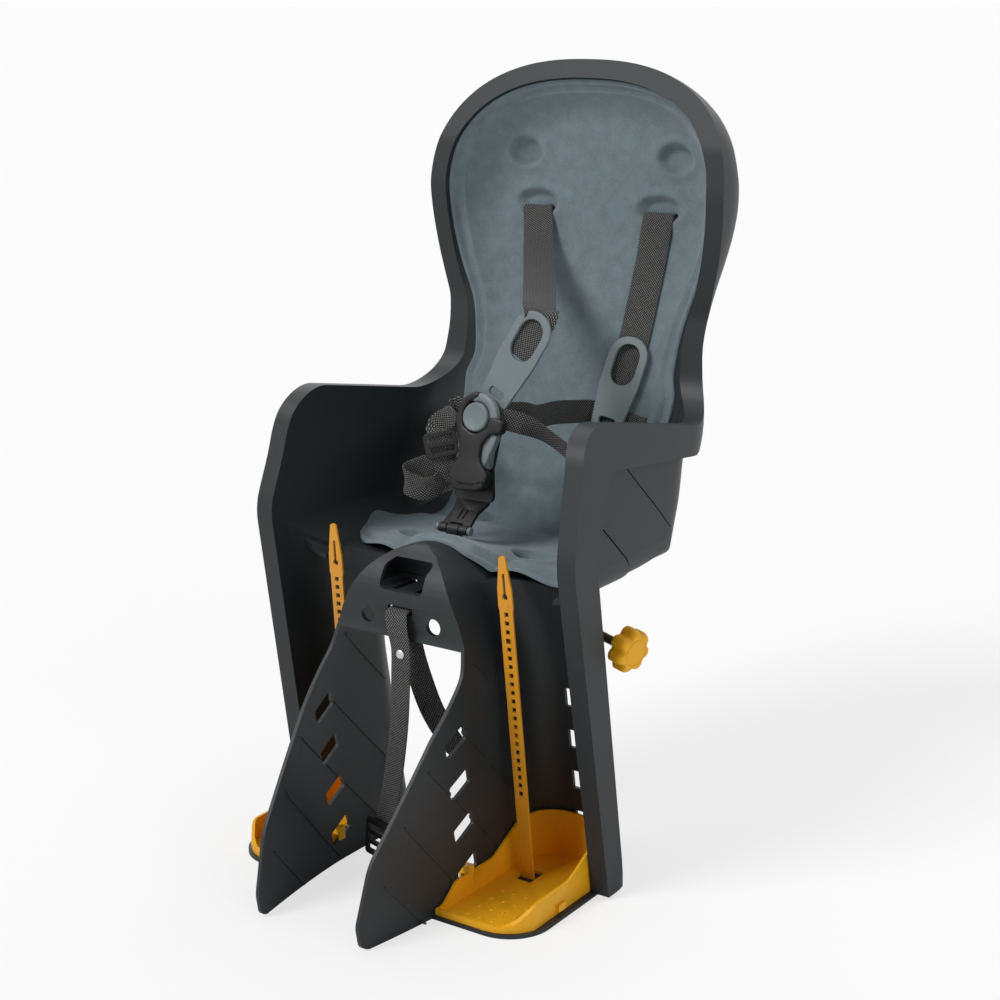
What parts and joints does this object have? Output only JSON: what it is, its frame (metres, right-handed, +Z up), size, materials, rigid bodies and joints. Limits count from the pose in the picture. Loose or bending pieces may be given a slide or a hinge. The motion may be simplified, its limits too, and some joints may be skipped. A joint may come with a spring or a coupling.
{
  "type": "child bike seat",
  "caption": "Moulded rear child seat for a bicycle, with leg wells, foot trays, pad, harness and a clamp for two carrier rods.",
  "frame": {"origin": "middle of the two carrier rod holes, on the front face of the arch; the floor of the leg wells is 274 mm below it", "axes": "+X to the side of the clamp knob, +Y to the back of the seat, +Z up"},
  "size_m": [0.4132, 0.5339, 0.8017],
  "materials": {
    "shell": "fine matt grain",
    "pad": "woven cover over foam",
    "yellow": "satin",
    "yellow_strap": "satin",
    "webbing": "ribbed weave",
    "light_grey": "satin",
    "black_plastic": "satin",
    "steel": "plated",
    "brass": "dull"
  },
  "bodies": {
    "seat": {"shell": "shell", "seat_pad": "pad", "foot_tray_left": "yellow", "foot_tray_right": "yellow", "foot_strap_left": "yellow_strap", "foot_strap_right": "yellow_strap", "shoulder_strap_left": "webbing", "shoulder_strap_right": "webbing", "tongue_left": "light_grey", "tongue_right": "light_grey", "buckle_body": "black_plastic", "crotch_strap": "black_plastic", "crotch_pin": "steel", "crotch_anchor": "black_plastic", "lap_strap_left": "webbing", "lap_strap_right": "webbing", "tri_glide": "light_grey", "safety_strap": "webbing", "safety_rivet": "steel", "safety_buckle": "black_plastic", "rod_clamp": "black_plastic", "clamp_bush": "steel", "strap_bars": "steel"},
    "button": {"buckle_button": "light_grey"},
    "clamp_screw": {"clamp_stud": "brass", "clamp_knob": "yellow"}
  },
  "joints": [
    {"name": "button_press", "type": "slide", "parent": "seat", "child": "button", "axis": [0, 0.9648, -0.2631], "range_m": [0, 0.0025], "stiffness_N_per_m": 600, "springref_m": -0.002},
    {"name": "clamp_screw_turn", "type": "hinge", "parent": "seat", "child": "clamp_screw", "pos_m": [0.051, 0.1311, 0.0038], "axis": [0.9684, -0.1997, -0.1497], "continuous": true}
  ]
}
